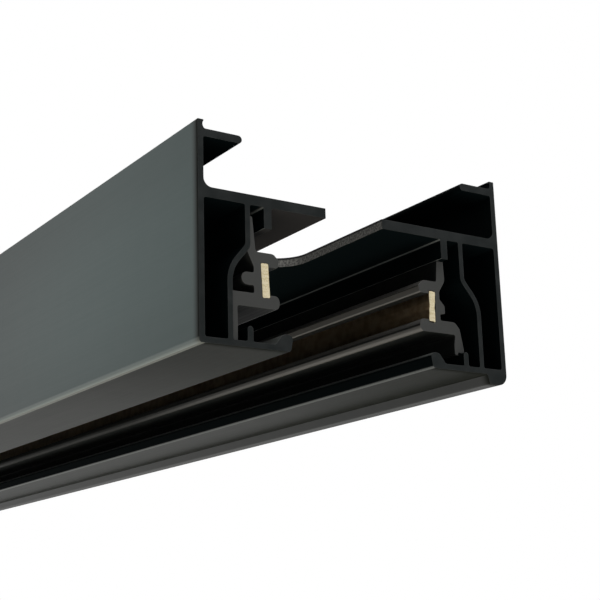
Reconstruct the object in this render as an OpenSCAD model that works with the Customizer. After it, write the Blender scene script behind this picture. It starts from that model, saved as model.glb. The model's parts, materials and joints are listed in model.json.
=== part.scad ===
// Busway section: an extruded track with a hanger channel on top, a plug-in slot
// underneath, and two conductor strips, each held in its own insulator.
// The length runs along Y and the plug-in slot faces down. Z = 0 is the underside
// of the keying ridge, which is what the section stands on.

/* [Housing] */
// Length of the section
length = 1000; // [300:50:3000]
// Width over the side walls
body_w = 54; // [51:0.5:64]
// Height from the bottom flanges' underside to the top of the side walls
body_h = 31.5; // [29.5:0.5:38]
// Thickness of the side walls
wall_t = 0.9; // [0.8:0.1:1.4]
// Radius of the outer bottom edges
corner_r = 0.8; // [0.3:0.1:0.8]
// Radius in the extrusion's inside corners
fillet_r = 0.3; // [0.2:0.05:0.4]
// Radius on the extrusion's edges
edge_r = 0.12; // [0.05:0.01:0.2]

/* [Web] */
// Height of the web's underside above the flanges' underside
web_z = 20.3; // [20:0.1:22]
// Thickness of the web
web_t = 1.5; // [1.2:0.1:2]
// Radius where the web's top meets the walls
web_fillet_r = 1.3; // [0.6:0.1:2]

/* [Hanger channel] */
// Reach of the top lips inward from the outer faces
lip_reach = 7.1; // [5:0.1:9]
// Thickness of the top lips
lip_t = 1.15; // [0.9:0.05:1.5]
// Rise of the hooked wall edges above the lips
hook_h = 1.3; // [1:0.1:1.6]
// Width of the hooks at their tip
hook_w = 1.15; // [0.9:0.05:1.4]
// Radius of the groove under each hook
hook_groove_r = 0.8; // [0.8:0.05:1]

/* [Plug-in slot] */
// Width of the slot between the flange beads
slot_w = 24.2; // [23:0.1:25]
// Thickness of the bottom flanges
flange_t = 0.85; // [0.8:0.05:1.3]
// Height of the beads along the slot
bead_h = 2.4; // [2:0.1:2.8]
// Width of the beads at their top
bead_w = 1.7; // [1.5:0.1:2.1]
// Overhang of the beads' tops towards the slot
bead_overhang = 0.5; // [0:0.1:0.8]
// Width of the sweep from each bead down to its flange
bead_sweep = 1.2; // [0.8:0.1:1.6]

/* [Keying ridge] */
// Drop of the ridge below the right flange
ridge_h = 1.55; // [1:0.05:2.5]
// Width of the ridge's underside
ridge_w = 3.4; // [3:0.1:4.5]
// Width of the bevel on the ridge's inner side
ridge_bevel = 0.5; // [0.2:0.1:0.8]
// Radius of the ridge's outer edge
ridge_r = 2.3; // [0.8:0.1:2.4]

/* [Ribs] */
// Thickness of the long ribs
long_rib_t = 0.8; // [0.7:0.05:1]
// Distance of the long ribs' upper run from the middle
long_rib_top_x = 19.2; // [19:0.05:19.6]
// Distance of the long ribs' lower run from the middle
long_rib_foot_x = 22.15; // [21.9:0.05:22.6]
// Height at which the long ribs bend outward
bend_top_z = 14.3; // [14:0.1:15]
// Height at which the long ribs turn down again
bend_foot_z = 10.8; // [10.2:0.1:11.2]
// Radius of the upper bends
bend_top_r = 1.6; // [1:0.1:2.2]
// Radius of the lower bends
bend_foot_r = 5; // [2:0.1:5.5]
// Distance of the short ribs from the middle
short_rib_x = 15.9; // [15.7:0.05:16.2]
// Thickness of the short ribs
short_rib_t = 1.25; // [1:0.05:1.5]
// Drop of the short ribs below the web
short_rib_h = 3.1; // [2.8:0.1:3.6]
// Distance of the lock ribs from the middle
lock_rib_x = 19.05; // [18.9:0.05:19.3]
// Thickness of the lock ribs
lock_rib_t = 0.9; // [0.7:0.05:1.1]
// Rise of the lock ribs above the flanges
lock_rib_h = 2.15; // [1.9:0.05:2.4]

/* [Feed notch] */
// Width of the notch cut in the web at the front end
notch_w = 10.2; // [6:0.1:14]
// Depth of the notch from the front end
notch_d = 25.4; // [15:0.1:40]
// Offset of the notch from the middle
notch_x = -0.9; // [-3:0.1:3]

/* [Conductors] */
// Height of each conductor strip
strip_h = 4.95; // [4.7:0.05:5.2]
// Thickness of each conductor strip
strip_t = 1.2; // [1:0.05:1.4]
// Radius of the strips' long edges
strip_edge_r = 0.2; // [0.1:0.05:0.4]
// Height of the strips' middle above the flanges' underside
strip_z = 9.8; // [9.65:0.05:9.95]
// Lean of the strips, with their lower edges towards the middle, in degrees
strip_lean = 2.5; // [0:0.5:4]
// Distance of the left strip from the middle
left_strip_x = 16.25; // [16:0.05:16.5]
// Distance of the right strip from the middle
right_strip_x = 13.95; // [13.8:0.05:14.2]

/* [Insulators] */
// Depth of the grooves that hold the strips' long edges
groove_d = 0.45; // [0.3:0.05:0.6]
// Thickness of the lips above and below the strips
grip_t = 1.5; // [1.35:0.05:1.65]
// Bevel on the upper lip's tip
grip_bevel = 0.9; // [0.6:0.1:1.1]
// Thickness of the feet that reach out under the holders
foot_t = 1.95; // [1.7:0.05:2.1]

/* [Left insulator] */
// Reach of its lips past the strip's inner face
left_grip_reach = 1.7; // [1.4:0.1:2.1]
// Thickness of its wall behind the strip
left_back_t = 1.25; // [1.1:0.05:1.5]
// Height of its blade above the holder
blade_h = 5; // [4:0.1:5.4]
// Thickness of the blade at its tip
blade_tip_t = 0.5; // [0.4:0.05:0.6]
// Thickness of the blade at its root
blade_root_t = 0.95; // [0.8:0.05:1.1]
// Height of the nose on its back
nose_h = 1.8; // [1.6:0.05:2]
// Reach of the nose from its back
nose_reach = 2; // [1.6:0.1:2.2]
// Length of the shoulder that bears under the long rib's bend
shoulder_l = 0.6; // [0.4:0.05:1]
// Thickness of the leg beside the long rib
left_leg_t = 0.85; // [0.7:0.05:1.1]

/* [Right insulator] */
// Reach of its lips past the strip's inner face
right_grip_reach = 1.95; // [1.6:0.05:2.2]
// Thickness of its wall behind the strip
right_back_t = 0.9; // [0.8:0.05:1.1]
// Reach of the catch on its back
catch_reach = 0.95; // [0.7:0.05:1]
// Height of the catch
catch_h = 1.9; // [1.7:0.05:2]
// Thickness of the leg that stands on the lock rib
right_leg_t = 1.2; // [1:0.05:1.4]
// Depth of the toe that hooks over the lock rib's inner side
toe_d = 0.4; // [0.3:0.05:0.6]

/* [Fits] */
// Clearance between the insulators and the housing
seat_gap = 0.08; // [0.05:0.01:0.2]
// Clearance between the strips and their grooves
strip_gap = 0.05; // [0.03:0.01:0.1]
// Setback of the left insulator and strip from the housing's ends
left_setback = 0.4; // [0:0.1:3]
// Setback of the right insulator and strip from the housing's ends
right_setback = 1.2; // [0:0.1:3]

/* [Hidden] */

half_w = body_w / 2;
wall_in = half_w - wall_t;
slot_half = slot_w / 2;
web_top = web_z + web_t;
lip_top = body_h - hook_h;
short_rib_z = web_z - short_rib_h;
lock_rib_z = flange_t + lock_rib_h;
lock_rib_in = lock_rib_x - lock_rib_t / 2;
strip_top = strip_z + strip_h / 2;
strip_foot = strip_z - strip_h / 2;
holder_top = strip_top + grip_t;
holder_foot = strip_foot - grip_t;
foot_top = holder_foot + foot_t;

// Angle that one facet of an arc turns through
arc_step = 10;
// Facets of a full circle in the fillets
$fn = 28;
// Overlap of members that are one piece, and of cuts past a face
lap = 0.05;
past = 1;

// ---- Outline helpers: corners are [x, z] or [x, z, radius] ----

function unit(v) = v / norm(v);
function flat(p) = [p[0], p[1]];
function left_of(v) = [-v[1], v[0]];

// Points of an arc about a centre, from one angle to another
function arc(centre, r, from, to) =
    let (n = max(2, ceil(abs(to - from) / arc_step)))
    [for (i = [0:n]) centre + r * [cos(from + (to - from) * i / n), sin(from + (to - from) * i / n)]];

// The corner at b between a and c, rounded to radius r as far as its sides allow
function bend(a, b, c, r) =
    let (
        to_a = flat(a) - flat(b),
        to_c = flat(c) - flat(b),
        half = acos(unit(to_a) * unit(to_c)) / 2,
        cut = min(r / tan(half), 0.49 * norm(to_a), 0.49 * norm(to_c)),
        fit_r = cut * tan(half),
        centre = flat(b) + unit(unit(to_a) + unit(to_c)) * fit_r / sin(half),
        turn = sign(to_a[1] * to_c[0] - to_a[0] * to_c[1]),
        first = flat(b) + unit(to_a) * cut - centre,
        from = atan2(first[1], first[0])
    )
    r <= 0 ? [flat(b)] : arc(centre, fit_r, from, from + turn * (180 - 2 * half));

// A closed outline with each corner rounded to its own radius
function rounded(corners) =
    let (n = len(corners))
    [for (i = [0:n - 1])
        each bend(corners[(i + n - 1) % n], corners[i], corners[(i + 1) % n], corners[i][2])];

// An open line of corners, each inner one bent to its own radius
function bent_line(corners) =
    let (last = len(corners) - 1)
    [flat(corners[0]),
     for (i = [1:last - 1]) each bend(corners[i - 1], corners[i], corners[i + 1], corners[i][2]),
     flat(corners[last])];

// The points of a line moved sideways by d
function beside(line, d) =
    let (last = len(line) - 1)
    [for (i = [0:last])
        let (
            before = left_of(unit(line[max(i, 1)] - line[max(i, 1) - 1])),
            after = left_of(unit(line[min(i + 1, last)] - line[min(i + 1, last) - 1])),
            normal = unit(before + after)
        )
        line[i] + normal * d / (normal * after)];

function reversed(points) = [for (i = [len(points) - 1:-1:0]) points[i]];

// A rib of even thickness along a line
module rib_along(line, t) {
    polygon(concat(beside(line, t / 2), reversed(beside(line, -t / 2))));
}

// A rectangle between two opposite corners
module box_section(low, high) {
    translate(low) square(high - low);
}

// Rounds a section's inside corners, then its edges
module soften(inside_r, outside_r) {
    offset(r = outside_r) offset(delta = -outside_r)
        offset(r = -inside_r) offset(delta = inside_r) children();
}

// Runs a section along Y, centred, with the flanges' underside raised to stand on the ridge
module run_along(run) {
    translate([0, 0, ridge_h]) rotate([90, 0, 0])
        linear_extrude(height = run, center = true) children();
}

// ---- Housing ----

// Middle line of the long rib before its bends are rounded
long_rib_corners = [
    [long_rib_top_x, web_z + web_t / 2, 0],
    [long_rib_top_x, bend_top_z, bend_top_r],
    [long_rib_foot_x, bend_foot_z, bend_foot_r],
    [long_rib_foot_x, flange_t / 2, 0]
];

// Side wall with its rounded bottom edge, up to the height of the lips
module wall_section() {
    polygon(rounded([
        [half_w, 0, corner_r],
        [half_w, lip_top, 0],
        [wall_in, lip_top, 0],
        [wall_in, 0, 0]
    ]));
}

// Hooked edge above the lip, with a round groove on its inner side
module hook_section() {
    half_angle = asin(hook_h / 2 / hook_groove_r);
    groove = [half_w - hook_w - hook_groove_r * cos(half_angle), lip_top + hook_h / 2];
    polygon(concat(
        [[wall_in, lip_top - lap], [half_w, lip_top - lap], [half_w, body_h]],
        arc(groove, hook_groove_r, half_angle, -half_angle)
    ));
}

// Inward lip over the hanger channel, with a round nose
module lip_section() {
    polygon(rounded([
        [wall_in + lap, lip_top - lip_t, 0],
        [wall_in + lap, lip_top, 0],
        [half_w - lip_reach, lip_top, lip_t / 2],
        [half_w - lip_reach, lip_top - lip_t, lip_t / 2]
    ]));
}

// Fillet where the web's top meets the wall
module web_fillet_section() {
    polygon(concat(
        [[wall_in + lap, web_top - lap], [wall_in + lap, web_top + web_fillet_r]],
        arc([wall_in - web_fillet_r, web_top + web_fillet_r], web_fillet_r, 0, -90),
        [[wall_in - web_fillet_r, web_top - lap]]
    ));
}

// Bottom flange with the bead along the slot
module flange_section() {
    bead_end = slot_half + bead_w + bead_sweep;
    box_section([bead_end, 0], [wall_in + lap, flange_t]);
    polygon(rounded([
        [slot_half + bead_overhang, 0, bead_overhang],
        [slot_half, bead_h, bead_h / 2],
        [slot_half + bead_w, bead_h, bead_w / 2],
        [bead_end, flange_t, bead_sweep / 2],
        [bead_end + past, flange_t, 0],
        [bead_end + past, 0, 0]
    ]));
}

// Ribs inside one half: the long rib, the short rib and the lock rib
module rib_sections() {
    rib_along(bent_line(long_rib_corners), long_rib_t);
    box_section(
        [short_rib_x - short_rib_t / 2, short_rib_z],
        [short_rib_x + short_rib_t / 2, web_z + lap]
    );
    polygon(rounded([
        [lock_rib_in, flange_t - lap, 0],
        [lock_rib_in, lock_rib_z, lock_rib_t / 2],
        [lock_rib_in + lock_rib_t, lock_rib_z, lock_rib_t / 2],
        [lock_rib_in + lock_rib_t, flange_t - lap, 0]
    ]));
}

// Everything that both halves have
module half_section() {
    wall_section();
    hook_section();
    lip_section();
    web_fillet_section();
    flange_section();
    rib_sections();
}

// Ridge under the right bottom edge, which keys the section one way round
module ridge_section() {
    polygon(rounded([
        [half_w, flange_t + 2 * ridge_r, 0],
        [wall_in, flange_t + 2 * ridge_r, 0],
        [wall_in, flange_t, 0],
        [half_w - ridge_w - ridge_bevel, flange_t, 0],
        [half_w - ridge_w - ridge_bevel, 0, 0],
        [half_w - ridge_w, -ridge_h, fillet_r],
        [half_w, -ridge_h, ridge_r]
    ]));
}

module housing_section() {
    soften(fillet_r, edge_r) {
        half_section();
        mirror([1, 0]) half_section();
        box_section([-wall_in - lap, web_z], [wall_in + lap, web_top]);
        ridge_section();
    }
}

// U-shaped notch through the web, open at the front end
module feed_notch() {
    r = notch_w / 2;
    translate([notch_x, -length / 2, ridge_h + web_z - past])
        linear_extrude(height = web_t + 2 * past)
            polygon(concat([[-r, -past], [r, -past]], arc([0, notch_d - r], r, 0, 180)));
}

module housing() {
    color("#2f3233")
        difference() {
            run_along(length) housing_section();
            feed_notch();
        }
}

// ---- Conductors ----

// Strip outline about its own middle, grown by a clearance
module strip_outline(gap) {
    w = strip_t / 2 + gap;
    h = strip_h / 2 + gap;
    r = strip_edge_r + gap;
    polygon(rounded([[w, -h, r], [w, h, r], [-w, h, r], [-w, -h, r]]));
}

// Puts a strip at its place on the right-hand side, leaning
module at_strip(x) {
    translate([x, strip_z]) rotate(-strip_lean) children();
}

// The same for one point beside a strip
function by_strip(x, side, up) =
    [x + side * cos(strip_lean) + up * sin(strip_lean),
     strip_z - side * sin(strip_lean) + up * cos(strip_lean)];

module conductor_left() {
    color("#d9cba4") run_along(length - 2 * left_setback)
        mirror([1, 0]) at_strip(left_strip_x) strip_outline(0);
}

module conductor_right() {
    color("#d9cba4") run_along(length - 2 * right_setback)
        at_strip(right_strip_x) strip_outline(0);
}

// ---- Insulators, both drawn on the right-hand side ----

// The mouth that the strip shows through: corners from the lower lip's tip to the upper lip's
function mouth(strip_x, tip_x) =
    let (
        grip_up = strip_h / 2 - groove_d,
        low = by_strip(strip_x, strip_t / 2, -grip_up),
        high = by_strip(strip_x, strip_t / 2, grip_up)
    )
    [
        [tip_x + grip_bevel / 3, holder_foot, grip_t / 2],
        [tip_x, (holder_foot + low[1]) / 2, grip_t / 2],
        [tip_x + grip_bevel / 3, low[1], grip_t / 2],
        [low[0], low[1], 0],
        [high[0], high[1], 0],
        [tip_x + grip_bevel / 3, high[1], grip_bevel / 3],
        [tip_x, holder_top - grip_bevel, grip_bevel / 3],
        [tip_x + grip_bevel, holder_top, grip_bevel]
    ];

// Left insulator: a blade and a leg bear against the long rib, above and below its bend
function left_corners() =
    let (
        tip_x = left_strip_x - strip_t / 2 - left_grip_reach,
        back_x = left_strip_x + strip_t / 2 + left_back_t,
        seat = beside([for (corner = long_rib_corners) flat(corner)], -long_rib_t / 2 - seat_gap),
        upper_seat = seat[1][0],
        lower_seat = seat[2][0],
        shoulder = seat[1] + unit(seat[2] - seat[1]) * shoulder_l,
        nose_top = strip_z + nose_h / 2,
        nose_foot = strip_z - nose_h / 2,
        blade_top = holder_top + blade_h
    )
    concat(mouth(left_strip_x, tip_x), [
        [upper_seat - blade_root_t, holder_top, blade_root_t / 2],
        [upper_seat - blade_tip_t, blade_top, blade_tip_t / 2],
        [upper_seat, blade_top, blade_tip_t / 4],
        [upper_seat, seat[1][1], 0],
        [shoulder[0], shoulder[1], edge_r],
        [back_x, nose_top + grip_bevel, grip_bevel],
        [back_x, nose_top, fillet_r],
        [back_x + nose_reach, nose_top, nose_h / 2],
        [back_x + nose_reach, nose_foot, nose_h / 2],
        [back_x, nose_foot, fillet_r],
        [back_x, foot_top, fillet_r],
        [lower_seat, foot_top, edge_r],
        [lower_seat, flange_t + seat_gap, fillet_r],
        [lower_seat - left_leg_t, flange_t + seat_gap, edge_r],
        [lower_seat - left_leg_t, holder_foot, fillet_r]
    ]);

// Right insulator: a stem meets the short rib, and a hooked leg stands on the lock rib
function right_corners() =
    let (
        tip_x = right_strip_x - strip_t / 2 - right_grip_reach,
        back_x = right_strip_x + strip_t / 2 + right_back_t,
        stem_in = short_rib_x - short_rib_t / 2,
        stem_out = short_rib_x + short_rib_t / 2,
        stem_top = short_rib_z - seat_gap,
        catch_top = strip_z + catch_h / 6,
        catch_foot = strip_z - catch_h / 2,
        toe_x = lock_rib_in - seat_gap,
        heel_z = lock_rib_z + seat_gap,
        toe_in = toe_x - right_leg_t / 2,
        leg_out = toe_in + right_leg_t
    )
    concat(mouth(right_strip_x, tip_x), [
        [stem_in - fillet_r, holder_top, fillet_r],
        [stem_in, stem_top, edge_r],
        [stem_out, stem_top, edge_r],
        [stem_out + edge_r, holder_top + fillet_r, grip_t],
        [back_x, strip_top, grip_bevel],
        [back_x, catch_top + catch_reach, catch_reach / 2],
        [back_x + catch_reach, catch_top, catch_h / 3],
        [back_x + catch_reach, catch_foot, fillet_r],
        [back_x, catch_foot, fillet_r],
        [back_x, foot_top, fillet_r],
        [leg_out - grip_bevel, foot_top, grip_bevel],
        [leg_out, holder_foot + foot_t / 2, grip_bevel],
        [leg_out + right_leg_t / 2, heel_z + right_leg_t / 2, fillet_r],
        [leg_out + right_leg_t / 2, heel_z, fillet_r],
        [toe_x, heel_z, 0],
        [toe_x, heel_z - toe_d, edge_r],
        [toe_in, heel_z - toe_d, right_leg_t / 3],
        [toe_in, heel_z + right_leg_t, right_leg_t / 3],
        [toe_in + fillet_r, holder_foot, fillet_r]
    ]);

// An insulator's outline with the seat of its strip cut out
module holder_section(corners, strip_x) {
    difference() {
        polygon(rounded(corners));
        at_strip(strip_x) strip_outline(strip_gap);
    }
}

module insulator_left() {
    color("#3c3e3f") run_along(length - 2 * left_setback)
        mirror([1, 0]) holder_section(left_corners(), left_strip_x);
}

module insulator_right() {
    color("#3c3e3f") run_along(length - 2 * right_setback)
        holder_section(right_corners(), right_strip_x);
}

housing();
insulator_left();
insulator_right();
conductor_left();
conductor_right();
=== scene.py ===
"""Looks of the busway section: the camera, the finishes, the conductor strips and the light."""

import json
import math

import bmesh
import bpy
from mathutils import Matrix, Vector, noise


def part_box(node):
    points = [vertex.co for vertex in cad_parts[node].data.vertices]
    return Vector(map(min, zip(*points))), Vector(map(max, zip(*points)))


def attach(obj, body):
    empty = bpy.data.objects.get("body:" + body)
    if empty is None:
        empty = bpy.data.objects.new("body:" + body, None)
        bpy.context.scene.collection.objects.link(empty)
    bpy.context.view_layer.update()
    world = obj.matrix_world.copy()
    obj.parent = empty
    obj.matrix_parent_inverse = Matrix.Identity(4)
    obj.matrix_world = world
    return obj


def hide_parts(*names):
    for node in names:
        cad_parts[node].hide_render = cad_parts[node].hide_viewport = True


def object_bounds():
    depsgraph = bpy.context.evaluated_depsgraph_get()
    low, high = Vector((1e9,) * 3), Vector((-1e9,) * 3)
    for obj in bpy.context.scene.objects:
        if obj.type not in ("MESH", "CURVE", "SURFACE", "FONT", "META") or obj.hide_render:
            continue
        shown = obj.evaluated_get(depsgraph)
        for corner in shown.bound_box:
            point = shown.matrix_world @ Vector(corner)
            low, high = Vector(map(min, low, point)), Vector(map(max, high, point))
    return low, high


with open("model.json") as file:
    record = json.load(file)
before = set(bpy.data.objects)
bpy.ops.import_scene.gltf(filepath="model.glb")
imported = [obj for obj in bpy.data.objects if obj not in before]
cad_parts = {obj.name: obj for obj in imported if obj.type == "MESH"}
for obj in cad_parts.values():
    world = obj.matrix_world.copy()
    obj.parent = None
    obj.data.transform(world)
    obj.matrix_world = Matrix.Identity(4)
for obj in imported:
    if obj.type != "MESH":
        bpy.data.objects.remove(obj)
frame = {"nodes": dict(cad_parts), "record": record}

CAD_LOW, CAD_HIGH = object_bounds()
FRONT_Y = CAD_LOW.y
FLOOR_Z = CAD_LOW.z
MM = 0.001

# ---- Camera ----
CAMERA_AZIMUTH = -33.96
CAMERA_ELEVATION = -14.45
CAMERA_ROLL = -1.68
CAMERA_LENS = 77.22
CAMERA_DISTANCE = 0.1794
CAMERA_CLIP_START = 0.01
CAMERA_CLIP_END = 50
# The point that it looks at, on the front end's plane
CAMERA_AIM = Vector((-0.01088, FRONT_Y, FLOOR_Z + 0.00914))

# ---- Conductor strips ----
# Spacing of the points round a strip, and of the rings behind each end
STRIP_STEP = 0.12 * MM
END_RINGS = 16
END_RING_STEP = 0.14 * MM
LONG_RING_STEP = 12 * MM
# How deep the shear tore each strip's edges, and how far behind the end the tear fades
TORN_LEFT = 0.06 * MM
TORN_RIGHT = 0.22 * MM
TORN_FADE = 0.35 * MM
# Size of the tear's coarse and fine waves
TORN_COARSE = 0.7 * MM
TORN_FINE = 0.25 * MM
# Depth and size of the dents in both end faces, and the rings that an end face is made of
DENT_DEPTH = 0.05 * MM
DENT_SIZE = 0.5 * MM
END_FACE_SHARES = (0.85, 0.6, 0.3)
# The rings of an end face close on a middle line, which is this share of the strip's height
SPINE_SHARE = 0.75
# Edges that turn by more than this stay crisp
CRISP_ANGLE = math.radians(50)

# ---- Finishes (linear colours) ----
# The coating on the outer faces; on the inner ones, darkened as painted shade; the painted highlight
# on slanting corners in the slot; and the painted light on the web beside the notch
COAT = (0.0095, 0.0105, 0.0092, 1)
COAT_PALE = (0.0115, 0.0125, 0.0110, 1)
COAT_SHADED_INNER = (0.0008, 0.0017, 0.0019, 1)
COAT_TURN_HIGHLIGHT = (0.045, 0.049, 0.046, 1)
COAT_PAINTED_LIGHT = (0.014, 0.0135, 0.0132, 1)
# A painted highlight along the foot of the left wall, and the tint of what the walls reflect
COAT_FOOT_HIGHLIGHT = (0.11, 0.117, 0.108, 1)
COAT_TINT = (0.55, 1.0, 0.97, 1)
# The housing's sawn ends, and the painted highlight on their edges
COAT_CUT = (0.0080, 0.0098, 0.0100, 1)
COAT_CUT_PALE = (0.0145, 0.0165, 0.0168, 1)
COAT_EDGE_HIGHLIGHT = (0.045, 0.047, 0.046, 1)
# The notch's rough face, and the rim along its top
NOTCH_PALE = (0.135, 0.135, 0.13, 1)
NOTCH_DARK = (0.050, 0.051, 0.051, 1)
NOTCH_RIM = (0.016, 0.017, 0.017, 1)
PLASTIC = (0.007, 0.0078, 0.0076, 1)
PLASTIC_PALE = (0.010, 0.0105, 0.0098, 1)
# A painted highlight on the insulators' lips
PLASTIC_LIP_HIGHLIGHT = (0.050, 0.047, 0.041, 1)
PLASTIC_CUT = (0.034, 0.035, 0.034, 1)
# A painted highlight on the edges of the insulators' sawn ends
PLASTIC_EDGE_HIGHLIGHT = (0.075, 0.076, 0.074, 1)
METAL = (0.20, 0.145, 0.085, 1)
METAL_STAIN = (0.14, 0.095, 0.05, 1)
METAL_CUT = (0.56, 0.50, 0.35, 1)
METAL_DULL = (0.44, 0.37, 0.22, 1)
# Radius that the edges are eased by, in the shading alone
HOUSING_EASE = 0.14 * MM
PLASTIC_EASE = 0.12 * MM
# How close to the outline a point of the housing lies to take the outer faces' satin
SKIN = 0.3 * MM
# How far the notch's finish reaches past its opening: beside it, and behind it
NOTCH_BESIDE = 0.4 * MM
NOTCH_BEHIND = 8 * MM
# The sawn end's finish, and not the notch's, holds up to this depth
SAWN_DEPTH = 0.03 * MM
# Height of the painted highlight along the foot of the left wall
FOOT_HIGHLIGHT_SIZE = 0.9 * MM
# Depth of the dark rim along the top of the notch
RIM = 0.55 * MM
# How far behind the front end the outer faces' sheen comes up
END_FADE = 2.0 * MM
# How far behind the front end the undersides' sheen comes up
SHEEN_RUN = 70 * MM
# How far behind the front end the insulators' lips lose their shine: their gloss and their painted
# highlight
LIP_RUN = 110 * MM
# Sheen of the walls and of the ridge, seen squarely and at a slant
WALL_SHEEN = (0.6, 0.003)
RIDGE_SHEEN = (0.3, 0.03)
# Sheen of the flanges' undersides, at the front end and past SHEEN_RUN
UNDER_SHEEN = (0.0045, 0.016)
# The walls' sheen drops to this share towards their top and foot
BELLY_SHARE = 0.82
INNER_SHEEN = 0.01
TURNED_SHEEN = 0.3
BARE_SHEEN = 0.06

# ---- Light ----
WHITE = (1, 1, 1, 1)
AMBIENT = 0.05
# The point that the lamps are aimed at
LAMP_AIM = Vector((0, FRONT_Y + 0.1, FLOOR_Z + 0.015))
# The floor's colour under the lamps, and the paleness that it has everywhere
FLOOR_LIT = (0.35, 0.35, 0.35, 1)
FLOOR_PALE = (0.6, 0.6, 0.6, 1)
# Half of the floor's side, in metres, and the gap that keeps it clear of the part
FLOOR_HALF = 6
FLOOR_GAP = 0.02 * MM


# ---- Places from the record ----

def opening(name):
    """An opening's lowest and highest corner."""
    box = next(o["box_m"] for o in frame["record"]["physics"]["openings"] if o["name"] == name)
    return Vector(box[0]), Vector(box[1])


def mount(name):
    """A mount's place."""
    return Vector(next(m["pos_m"] for m in frame["record"]["mounts"] if m["name"] == name))


NOTCH_LOW, NOTCH_HIGH = opening("feed_notch")
WEB_TOP = opening("hanger_channel")[0].z
FLANGE_Z = mount("plug_slot").z
# How far from the middle the strips reach, on the left and on the right
LEFT_STRIP_REACH = -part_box("conductor_left")[0].x
RIGHT_STRIP_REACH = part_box("conductor_right")[1].x


# ---- Node helpers ----

class Finish:
    """One material, and short ways of adding its nodes. A mask is 1 where its name says, else 0."""

    def __init__(self, name):
        self.material = bpy.data.materials.new(name)
        self.material.use_nodes = True
        self.tree = self.material.node_tree
        self.tree.nodes.clear()
        texture = self.add("ShaderNodeTexCoord")
        self.place = texture.outputs["Object"]
        self.x, self.y, self.z = self.split(self.place)
        self.side, self.along, self.up = self.split(texture.outputs["Normal"])

    def add(self, kind, inputs=None, **settings):
        """A node; an input is either a value or the socket that feeds it."""
        node = self.tree.nodes.new(kind)
        for name, value in settings.items():
            setattr(node, name, value)
        for name, value in (inputs or {}).items():
            if isinstance(value, bpy.types.NodeSocket):
                self.tree.links.new(value, node.inputs[name])
            else:
                node.inputs[name].default_value = value
        return node

    def split(self, vector):
        return tuple(self.add("ShaderNodeSeparateXYZ", {"Vector": vector}).outputs)

    def math(self, operation, a, b=0.0):
        return self.add("ShaderNodeMath", {0: a, 1: b}, operation=operation).outputs[0]

    def size(self, value):
        return self.math("ABSOLUTE", value)

    def above(self, value, limit):
        return self.math("GREATER_THAN", value, limit)

    def below(self, value, limit):
        return self.math("LESS_THAN", value, limit)

    def product(self, first, *others):
        """The product of values, which for masks is where all of them hold."""
        for other in others:
            first = self.math("MULTIPLY", first, other)
        return first

    def ramp(self, value, low, high, to_low=0.0, to_high=1.0):
        """The value, taken smoothly from one range to another."""
        ranges = {"From Min": low, "From Max": high, "To Min": to_low, "To Max": to_high}
        inputs = {"Value": value, **ranges}
        node = self.add("ShaderNodeMapRange", inputs, interpolation_type="SMOOTHSTEP")
        return node.outputs["Result"]

    def noise(self, cells, detail, stretch=(1, 1, 1)):
        """A cloudy pattern of so many cells per metre; a low stretch draws it out along its axis."""
        coords = self.add("ShaderNodeMapping", {"Vector": self.place, "Scale": stretch})
        inputs = {"Vector": coords.outputs["Vector"], "Scale": cells, "Detail": detail}
        return self.add("ShaderNodeTexNoise", inputs).outputs["Fac"]

    def mix(self, factor, a, b):
        """A colour between a and b."""
        node = self.add("ShaderNodeMix", {0: factor, 6: a, 7: b}, data_type="RGBA")
        return node.outputs[2]

    def blend(self, factor, a, b):
        """A number between a and b."""
        return self.add("ShaderNodeMix", {0: factor, 2: a, 3: b}, data_type="FLOAT").outputs[0]

    def bump(self, height, distance, strength, normal=None):
        """The normal, tilted by a height pattern."""
        inputs = {"Height": height, "Distance": distance, "Strength": strength}
        if normal:
            inputs["Normal"] = normal
        return self.add("ShaderNodeBump", inputs).outputs["Normal"]

    def ease(self, radius):
        """The normal with its edges eased, and how far it turns there."""
        bevel = self.add("ShaderNodeBevel", {"Radius": radius}, samples=8).outputs[0]
        flat = self.add("ShaderNodeNewGeometry").outputs["True Normal"]
        dot = self.add("ShaderNodeVectorMath", {0: bevel, 1: flat}, operation="DOT_PRODUCT")
        return bevel, self.ramp(dot.outputs["Value"], 0.99, 0.80)

    def cut_ends(self):
        """A mask of the cut ends, which face along Y."""
        return self.ramp(self.size(self.along), 0.6, 0.8)

    def slanting(self):
        """0 on level and upright faces, up to 0.5 on faces that slope across the section."""
        return self.size(self.product(self.side, self.up))

    def shaded(self, **inputs):
        """Ends the material with its surface shader."""
        names = {name.replace("_", " "): value for name, value in inputs.items()}
        surface = self.add("ShaderNodeBsdfPrincipled", names)
        self.add("ShaderNodeOutputMaterial", {"Surface": surface.outputs[0]})
        return self.material


# ---- The housing's finish ----

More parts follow.
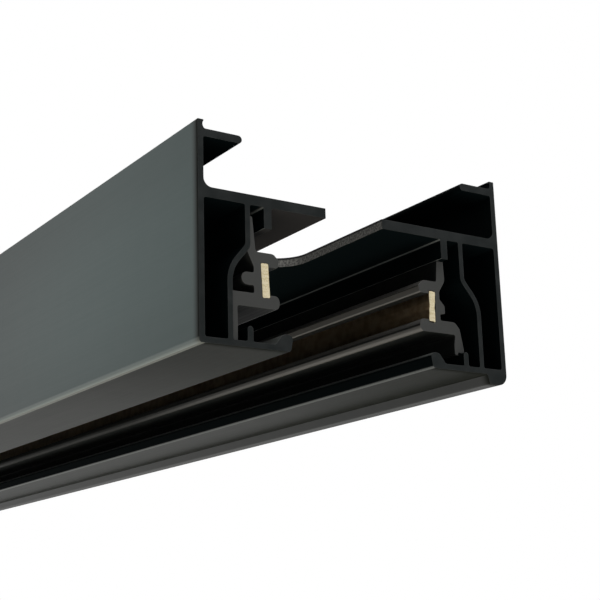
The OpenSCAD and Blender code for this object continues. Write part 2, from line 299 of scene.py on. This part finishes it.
class HousingFinish(Finish):
    """The housing's material, with the masks and patterns that its colour and its gloss share."""

    def __init__(self):
        super().__init__("coated_aluminium")
        self.eased, self.edge = self.ease(HOUSING_EASE)
        self.cut = self.cut_ends()
        self.notch = self.notch_face()
        self.bare = self.math("MAXIMUM", self.cut, self.notch)
        self.beside = self.above(self.size(self.x), CAD_HIGH.x - SKIN)
        self.outer = self.math("MAXIMUM", self.beside, self.below(self.z, FLANGE_Z + SKIN))
        self.in_slot = self.below(self.size(self.x), LEFT_STRIP_REACH)
        # Slanting corners in the slot: a painted highlight in their colour, and a real gloss
        self.highlit_slopes = self.product(self.ramp(self.slanting(), 0.2, 0.5), self.in_slot)
        self.slant = self.add("ShaderNodeLayerWeight", {"Blend": 0.5}).outputs["Facing"]
        self.streaks = self.noise(2600, 3, (1, 0.012, 1))
        self.chips = self.noise(3300, 3)

    def notch_face(self):
        """A mask of the notch's upright face."""
        middle = (NOTCH_LOW.x + NOTCH_HIGH.x) / 2
        reach = (NOTCH_HIGH.x - NOTCH_LOW.x) / 2 + NOTCH_BESIDE
        within = self.below(self.size(self.math("SUBTRACT", self.x, middle)), reach)
        behind = self.above(self.y, FRONT_Y + SAWN_DEPTH)
        near = self.below(self.y, NOTCH_HIGH.y + NOTCH_BEHIND)
        upright = self.below(self.size(self.up), 0.5)
        return self.product(within, behind, near, upright)

    def foot_highlight(self):
        """A mask of the painted highlight along the foot of the left wall."""
        left = self.below(self.x, CAD_LOW.x + FOOT_HIGHLIGHT_SIZE)
        return self.product(left, self.ramp(self.z, FLANGE_Z + FOOT_HIGHLIGHT_SIZE, FLANGE_Z + 0.6 * FOOT_HIGHLIGHT_SIZE))

    def painted_light_by_notch(self):
        """A mask of the painted light on the web's underside on the notch's left, which fades behind
        the notch.
        """
        left = self.below(self.x, NOTCH_LOW.x)
        facing_down = self.ramp(self.up, -0.6, -0.9)
        fade = self.ramp(self.y, NOTCH_HIGH.y, NOTCH_HIGH.y + END_FADE, 1.0, 0.0)
        return self.product(self.in_slot, left, facing_down, fade)

    def coat_colour(self):
        """Near black, darker on the inner faces as painted shade, with painted highlights on slanting
        corners in the slot and painted light beside the notch.
        """
        outer = self.mix(self.ramp(self.noise(260, 3), 0.3, 0.7), COAT, COAT_PALE)
        # Inner faces are darkened as painted shade, with painted light on the web beside the notch
        inner = self.mix(self.painted_light_by_notch(), COAT_SHADED_INNER, COAT_PAINTED_LIGHT)
        # Slanting corners in the slot get a painted highlight
        coat = self.mix(self.highlit_slopes, self.mix(self.outer, inner, outer), COAT_TURN_HIGHLIGHT)
        # A painted highlight along the foot of the left wall
        return self.mix(self.foot_highlight(), coat, COAT_FOOT_HIGHLIGHT)

    def sawn_colour(self):
        """Blotchy dark metal with painted highlights on its edges."""
        face = self.mix(self.ramp(self.noise(330, 3), 0.35, 0.7), COAT_CUT, COAT_CUT_PALE)
        return self.mix(self.math("MULTIPLY", self.edge, 0.6), face, COAT_EDGE_HIGHLIGHT)

    def notch_colour(self):
        """Chipped bare metal under a dark rim."""
        chipped = self.mix(self.ramp(self.chips, 0.36, 0.64), NOTCH_DARK, NOTCH_PALE)
        rim = self.ramp(self.z, WEB_TOP - RIM, WEB_TOP - 0.6 * RIM)
        return self.mix(rim, chipped, NOTCH_RIM)

    def colour(self):
        long_and_cut = self.mix(self.cut, self.coat_colour(), self.sawn_colour())
        return self.mix(self.notch, long_and_cut, self.notch_colour())

    def roughness(self):
        """Satin on the outer faces, and dull elsewhere."""
        streaked = self.ramp(self.streaks, 0.3, 0.7, 0.39, 0.41)
        grain = self.ramp(self.noise(9000, 2), 0.3, 0.7, -0.02, 0.02)
        satin = self.math("ADD", streaked, grain)
        return self.blend(self.bare, self.blend(self.outer, 0.6, satin), 0.62)

    def relief(self):
        """Draw lines on the long faces, saw marks on the ends and chips in the notch."""
        drawn = self.math("MULTIPLY", self.streaks, 0.08)
        saw = self.noise(5200, 2, (0.08, 1, 1))
        chipped = self.math("MULTIPLY", self.chips, 3.0)
        return self.blend(self.notch, self.blend(self.cut, drawn, saw), chipped)

    def wall_sheen(self):
        """Strongest where a wall is seen squarely, and half way up it."""
        height = CAD_HIGH.z - CAD_LOW.z
        middle = (CAD_LOW.z + CAD_HIGH.z) / 2
        from_middle = self.size(self.math("SUBTRACT", self.z, middle))
        belly = self.ramp(from_middle, 0.1 * height, 0.45 * height, 1.0, BELLY_SHARE)
        return self.product(self.ramp(self.slant, 0.58, 0.77, *WALL_SHEEN), belly)

    def under_sheen(self):
        """Comes up along the flanges' undersides; the ridge has a sheen of its own."""
        flanges = self.ramp(self.y, FRONT_Y, FRONT_Y + SHEEN_RUN, *UNDER_SHEEN)
        ridge = self.ramp(self.slant, 0.6, 0.85, *RIDGE_SHEEN)
        on_ridge = self.below(self.z, FLANGE_Z - 0.5 * SKIN)
        return self.blend(on_ridge, flanges, ridge)

    def gloss(self):
        """The specular level of every face."""
        outer = self.blend(self.beside, self.under_sheen(), self.wall_sheen())
        sheen = self.product(outer, self.ramp(self.y, FRONT_Y, FRONT_Y + END_FADE))
        long_faces = self.blend(self.outer, INNER_SHEEN, sheen)
        coat = self.blend(self.highlit_slopes, long_faces, TURNED_SHEEN)
        return self.blend(self.bare, coat, BARE_SHEEN)

    def tint(self):
        """The tint of what each face reflects, which only the coated walls have."""
        coated_wall = self.product(self.beside, self.math("SUBTRACT", 1.0, self.bare))
        return self.mix(coated_wall, WHITE, COAT_TINT)


def coated_aluminium():
    """Satin black coating with draw lines along it, bare rough metal in the notch, and sawn ends."""
    m = HousingFinish()
    normal = m.bump(m.relief(), 0.01 * MM, 0.6, m.eased)
    return m.shaded(Base_Color=m.colour(), Roughness=m.roughness(), Specular_IOR_Level=m.gloss(),
                    Specular_Tint=m.tint(), Normal=normal)


# ---- The other finishes ----

def extruded_plastic():
    """Matte grey plastic with faint die lines along it and sawn ends."""
    m = Finish("extruded_plastic")
    eased, edge = m.ease(PLASTIC_EASE)
    cut = m.cut_ends()
    lines = m.noise(3000, 2, (1, 0.008, 1))
    grain = m.noise(7000, 2)
    mottle = m.noise(500, 2)
    saw = m.noise(5000, 2, (0.1, 1, 1))

    lip = m.below(m.size(m.x), RIGHT_STRIP_REACH)
    # The lips shine near the front end: a real gloss, and a painted highlight in their colour
    shine = m.product(lip, m.ramp(m.y, FRONT_Y + 0.1 * LIP_RUN, FRONT_Y + LIP_RUN, 1.0, 0.1))
    highlit_slopes = m.product(m.ramp(m.slanting(), 0.1, 0.4), shine)
    plain = m.mix(m.ramp(mottle, 0.3, 0.7), PLASTIC, PLASTIC_PALE)
    long_face = m.mix(highlit_slopes, plain, PLASTIC_LIP_HIGHLIGHT)
    # Sawn ends, with a painted highlight on their edges
    sawn = m.mix(m.math("MULTIPLY", edge, 0.5), PLASTIC_CUT, PLASTIC_EDGE_HIGHLIGHT)
    colour = m.mix(cut, long_face, sawn)

    roughness = m.blend(cut, m.ramp(lines, 0.3, 0.7, 0.46, 0.58), m.ramp(grain, 0.3, 0.7, 0.6, 0.7))
    rough_saw = m.math("ADD", saw, m.math("MULTIPLY", grain, 0.5))
    relief = m.blend(cut, m.math("MULTIPLY", lines, 0.6), rough_saw)
    normal = m.bump(relief, 0.008 * MM, 0.6, eased)
    gloss = m.blend(cut, m.blend(highlit_slopes, 0.02, 0.6), 0.15)
    return m.shaded(Base_Color=colour, Roughness=roughness, Specular_IOR_Level=gloss, Normal=normal)


def drawn_metal():
    """Pale drawn metal, dull where it was sheared off."""
    m = Finish("drawn_metal")
    cut = m.cut_ends()
    lines = m.noise(6000, 2, (1, 0.006, 1))
    grain = m.noise(6500, 3)
    stain = m.noise(700, 3)
    marks = m.noise(2400, 2, (0.12, 1, 1))

    drawn = m.mix(m.ramp(stain, 0.35, 0.7), METAL, METAL_STAIN)
    sheared = m.mix(m.ramp(m.math("ADD", grain, marks), 0.84, 1.08), METAL_DULL, METAL_CUT)
    colour = m.mix(cut, drawn, sheared)
    roughness = m.blend(cut, m.ramp(lines, 0.3, 0.7, 0.28, 0.42), 0.7)
    metallic = m.blend(cut, 1.0, 0.25)
    relief = m.blend(cut, m.math("MULTIPLY", lines, 0.4), grain)
    normal = m.bump(relief, 0.012 * MM, 0.7)
    return m.shaded(Base_Color=colour, Roughness=roughness, Metallic=metallic, Normal=normal)


def finish_nodes():
    """Gives the housing and the insulators their materials; the strips bring their own."""
    coat = coated_aluminium()
    plastic = extruded_plastic()
    for name, node in frame["nodes"].items():
        if name.startswith("conductor"):
            continue
        node.data.materials.clear()
        node.data.materials.append(coat if name == "housing" else plastic)


# ---- Conductor strips ----

def placed(name, data):
    """A new object in the scene."""
    made = bpy.data.objects.new(name, data)
    bpy.context.scene.collection.objects.link(made)
    return made


def section_of(name):
    """A convex node's section at its front end: even points [x, z] round it, and their middle."""
    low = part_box(name)[0]
    corners = {(round(v.co.x, 7), round(v.co.z, 7))
               for v in frame["nodes"][name].data.vertices if v.co.y < low.y + 0.01 * MM}
    middle = sum((Vector(c) for c in corners), Vector((0, 0))) / len(corners)
    ordered = sorted((Vector(c) for c in corners),
                     key=lambda c: math.atan2(c.y - middle.y, c.x - middle.x))
    points = []
    for start, end in zip(ordered, ordered[1:] + ordered[:1]):
        pieces = max(1, round((end - start).length / STRIP_STEP))
        points += [start.lerp(end, i / pieces) for i in range(pieces)]
    return points, middle


def ring_places(low, high):
    """Y of each ring: close together behind both ends, and far apart between them."""
    ends = [i * END_RING_STEP for i in range(END_RINGS)]
    inner = high - low - 2 * ends[-1]
    count = round(inner / LONG_RING_STEP)
    between = [low + ends[-1] + inner * i / count for i in range(1, count)]
    return [low + d for d in ends] + between + [high - d for d in reversed(ends)]


def torn(point, end_distance, seed):
    """The share of the tear's depth that a point is pushed in, which fades behind the end."""
    fade = math.exp(-end_distance / TORN_FADE)
    coarse = noise.noise(Vector((point.x, seed, point.y)) / TORN_COARSE)
    fine = noise.noise(Vector((point.x, seed + 9, point.y)) / TORN_FINE)
    return max(0.0, fade * (0.5 + 0.5 * coarse + 0.35 * fine))


def torn_ring(mesh, section, middle, y, tear, end_distance, seed):
    """A ring of points round a strip at y, pushed in towards the middle where the strip is torn."""
    ring = []
    for point in section:
        inward = (middle - point).normalized()
        moved = point + inward * tear * torn(point, end_distance, seed)
        ring.append(mesh.verts.new((moved.x, y, moved.y)))
    return ring


def band(mesh, first, second):
    """The faces between two rings."""
    for i in range(len(first)):
        j = (i + 1) % len(first)
        mesh.faces.new((first[i], first[j], second[j], second[i]))


def close_end(mesh, ring, middle, y, inward, seed):
    """The uneven face across a strip's end, in rings that shrink to its middle line."""
    tall = max(v.co.z for v in ring) - middle.y
    last = ring
    for share in END_FACE_SHARES:
        inner = []
        for v in ring:
            spine = max(-SPINE_SHARE * tall, min(SPINE_SHARE * tall, v.co.z - middle.y))
            centre = Vector((middle.x, middle.y + spine))
            place = centre + (Vector((v.co.x, v.co.z)) - centre) * share
            dent = 0.5 + 0.5 * noise.noise(Vector((place.x, seed, place.y)) / DENT_SIZE)
            inner.append(mesh.verts.new((place.x, y + inward * DENT_DEPTH * dent, place.y)))
        band(mesh, last, inner)
        last = inner
    mesh.faces.new(last)


def strip_mesh(name, seed, tear):
    """A strip's mesh, with its ends torn a little by the shear that cut it."""
    low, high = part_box(name)
    section, middle = section_of(name)
    mesh = bmesh.new()
    rings = []
    for y in ring_places(low.y, high.y):
        end_distance = min(y - low.y, high.y - y)
        ring_seed = seed + 1 if y > 0 else seed
        rings.append(torn_ring(mesh, section, middle, y, tear, end_distance, ring_seed))
    for near, far in zip(rings, rings[1:]):
        band(mesh, near, far)
    close_end(mesh, rings[0], middle, low.y, 1, seed)
    close_end(mesh, rings[-1], middle, high.y, -1, seed + 5)
    bmesh.ops.recalc_face_normals(mesh, faces=mesh.faces)
    data = bpy.data.meshes.new(name + "_strip")
    mesh.to_mesh(data)
    mesh.free()
    return data


def strip(name, seed, tear, metal):
    """A conductor strip that takes the plain one's place."""
    data = strip_mesh(name, seed, tear)
    data.materials.append(metal)
    data.shade_smooth()
    piece = placed(name + "_strip", data)
    crisp = piece.modifiers.new("crisp", "EDGE_SPLIT")
    crisp.split_angle = CRISP_ANGLE
    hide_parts(name)
    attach(piece, "root")


def strips():
    metal = drawn_metal()
    strip("conductor_left", 3.1, TORN_LEFT, metal)
    strip("conductor_right", 7.7, TORN_RIGHT, metal)


# ---- Camera, light and floor ----

def facing(back, roll):
    """A rotation that looks against the vector back and is rolled about it."""
    across = Vector((0, 0, 1)).cross(back).normalized()
    up = back.cross(across)
    right = across * math.cos(roll) + up * math.sin(roll)
    top = up * math.cos(roll) - across * math.sin(roll)
    return Matrix((right, top, back)).transposed().to_euler()


def toward(azimuth, elevation):
    """The unit vector from the part to a viewer; azimuth 0 is in front and 90 on the right."""
    a = math.radians(azimuth)
    e = math.radians(elevation)
    return Vector((math.sin(a) * math.cos(e), -math.cos(a) * math.cos(e), math.sin(e)))


def camera():
    data = bpy.data.cameras.new("camera")
    data.lens = CAMERA_LENS
    data.clip_start = CAMERA_CLIP_START
    data.clip_end = CAMERA_CLIP_END
    back = toward(CAMERA_AZIMUTH, CAMERA_ELEVATION)
    made = placed("camera", data)
    made.location = CAMERA_AIM + back * CAMERA_DISTANCE
    made.rotation_euler = facing(back, math.radians(CAMERA_ROLL))
    bpy.context.scene.camera = made


def lamp(name, azimuth, elevation, distance, size, power, colour=(1, 1, 1)):
    """A soft square lamp that points at the front half of the part."""
    data = bpy.data.lights.new(name, "AREA")
    data.shape = "SQUARE"
    data.size = size
    data.energy = power
    data.color = colour
    back = toward(azimuth, elevation)
    made = placed(name, data)
    made.location = LAMP_AIM + back * distance
    made.rotation_euler = facing(back, 0)


def lamps():
    lamp("key_left", azimuth=-80, elevation=8, distance=2.0, size=1.6, power=2, colour=(0.85, 1, 1))
    lamp("front", azimuth=-12, elevation=-10, distance=2.0, size=1.2, power=15)
    lamp("under", azimuth=-35, elevation=-68, distance=2.0, size=1.4, power=50, colour=(1, 0.95, 0.86))
    lamp("top", azimuth=30, elevation=65, distance=2.5, size=2.0, power=60)


def studio():
    """White all round, and a weaker light from it on the part."""
    world = bpy.data.worlds.new("studio")
    bpy.context.scene.world = world
    world.use_nodes = True
    tree = world.node_tree
    tree.nodes.clear()
    path = tree.nodes.new("ShaderNodeLightPath")
    level = tree.nodes.new("ShaderNodeMapRange")
    level.inputs["To Min"].default_value = 1.0
    level.inputs["To Max"].default_value = AMBIENT
    background = tree.nodes.new("ShaderNodeBackground")
    background.inputs["Color"].default_value = WHITE
    output = tree.nodes.new("ShaderNodeOutputWorld")
    tree.links.new(path.outputs["Is Diffuse Ray"], level.inputs["Value"])
    tree.links.new(level.outputs["Result"], background.inputs["Strength"])
    tree.links.new(background.outputs[0], output.inputs["Surface"])


def floor_finish():
    """Pale from above, and clear from below, where the camera looks up through it."""
    m = Finish("floor")
    path = m.add("ShaderNodeLightPath")
    from_below = m.add("ShaderNodeNewGeometry").outputs["Backfacing"]
    shows = m.product(path.outputs["Is Camera Ray"], m.math("SUBTRACT", 1.0, from_below))
    clear = m.add("ShaderNodeBsdfTransparent")
    lit = m.add("ShaderNodeBsdfDiffuse", {"Color": FLOOR_LIT})
    pale = m.add("ShaderNodeEmission", {"Color": FLOOR_PALE})
    both = m.add("ShaderNodeAddShader", {0: lit.outputs[0], 1: pale.outputs[0]})
    inputs = {0: shows, 1: clear.outputs[0], 2: both.outputs[0]}
    surface = m.add("ShaderNodeMixShader", inputs)
    m.add("ShaderNodeOutputMaterial", {"Surface": surface.outputs[0]})
    return m.material


def floor():
    mesh = bmesh.new()
    bmesh.ops.create_grid(mesh, x_segments=1, y_segments=1, size=FLOOR_HALF)
    data = bpy.data.meshes.new("floor")
    mesh.to_mesh(data)
    mesh.free()
    data.materials.append(floor_finish())
    made = placed("floor", data)
    made.location.z = FLOOR_Z - FLOOR_GAP


camera()
finish_nodes()
strips()
studio()
floor()
lamps()
bpy.context.scene.view_settings.view_transform = "Standard"
